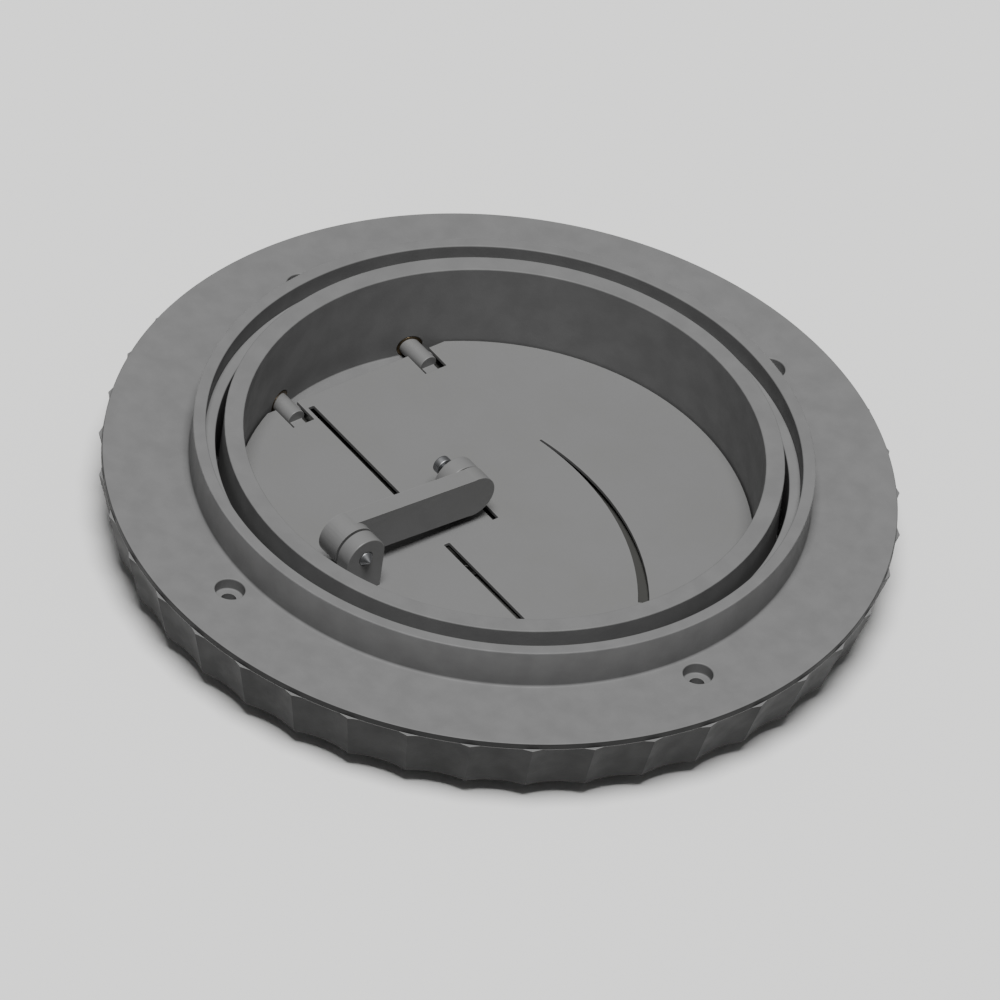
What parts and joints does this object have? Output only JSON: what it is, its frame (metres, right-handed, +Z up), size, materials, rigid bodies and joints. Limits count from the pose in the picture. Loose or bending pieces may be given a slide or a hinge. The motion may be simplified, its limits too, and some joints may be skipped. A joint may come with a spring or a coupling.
{
  "type": "manhole cover",
  "caption": "Round manhole cover: fluted bolt-down ring frame with a lift-out pan, sloping slotted deck plate, hinged lifting arm and sliding lock bolts.",
  "frame": {"origin": "centre of the flange's top face, on the neck's axis", "axes": "+Z up along the ring's axis, -X towards the two lock bolts, the lifting arm lies along Y with its pivot at -Y"},
  "size_m": [0.9206, 0.9206, 0.153],
  "materials": {
    "cast_iron": "as-cast ductile iron under a thin grey dip coat",
    "grey_steel": "grey paint on rolled steel plate",
    "forged_steel": "grey paint on forged steel",
    "zinc_steel": "turned steel, zinc plated",
    "bronze": "machined bearing bronze",
    "liner": "moulded grey polyethylene",
    "rubber": "moulded black EPDM"
  },
  "bodies": {
    "frame": {"ring_frame": "cast_iron", "centring_liner": "liner", "seat_seal": "rubber"},
    "pan": {"pan": "cast_iron", "drain_plug": "zinc_steel", "deck_plate": "grey_steel", "deck_studs": "zinc_steel", "deck_nuts": "zinc_steel", "deck_washers": "zinc_steel", "hinge_ear": "forged_steel", "keeper_ear": "forged_steel", "ear_screws": "zinc_steel", "pivot_pin": "zinc_steel", "thrust_washer": "bronze", "back_washer": "zinc_steel", "pivot_clip": "zinc_steel", "arm_buffer": "rubber", "bolt_bush_left": "bronze", "bolt_bush_right": "bronze"},
    "lift_arm": {"lift_arm": "forged_steel", "arm_bush": "bronze"},
    "keeper_pin": {"keeper_pin": "zinc_steel", "keeper_knob": "zinc_steel"},
    "lock_bar": {"lock_bar": "zinc_steel", "lock_bolt_left": "grey_steel", "lock_bolt_right": "grey_steel", "bolt_screws": "zinc_steel", "guide_stud": "zinc_steel"}
  },
  "joints": [
    {"name": "pan_lift", "type": "slide", "parent": "frame", "child": "pan", "axis": [0, 0, 1], "range_m": [0, 0.2]},
    {"name": "arm_hinge", "type": "hinge", "parent": "pan", "child": "lift_arm", "pos_m": [-0.0156, -0.21, -0.009], "axis": [1, 0, 0], "range_deg": [0, 95]},
    {"name": "keeper_slide", "type": "slide", "parent": "pan", "child": "keeper_pin", "axis": [1, 0, 0], "range_m": [0, 0.012]},
    {"name": "lock_slide", "type": "slide", "parent": "pan", "child": "lock_bar", "axis": [-1, 0, 0], "range_m": [0, 0.03]}
  ]
}
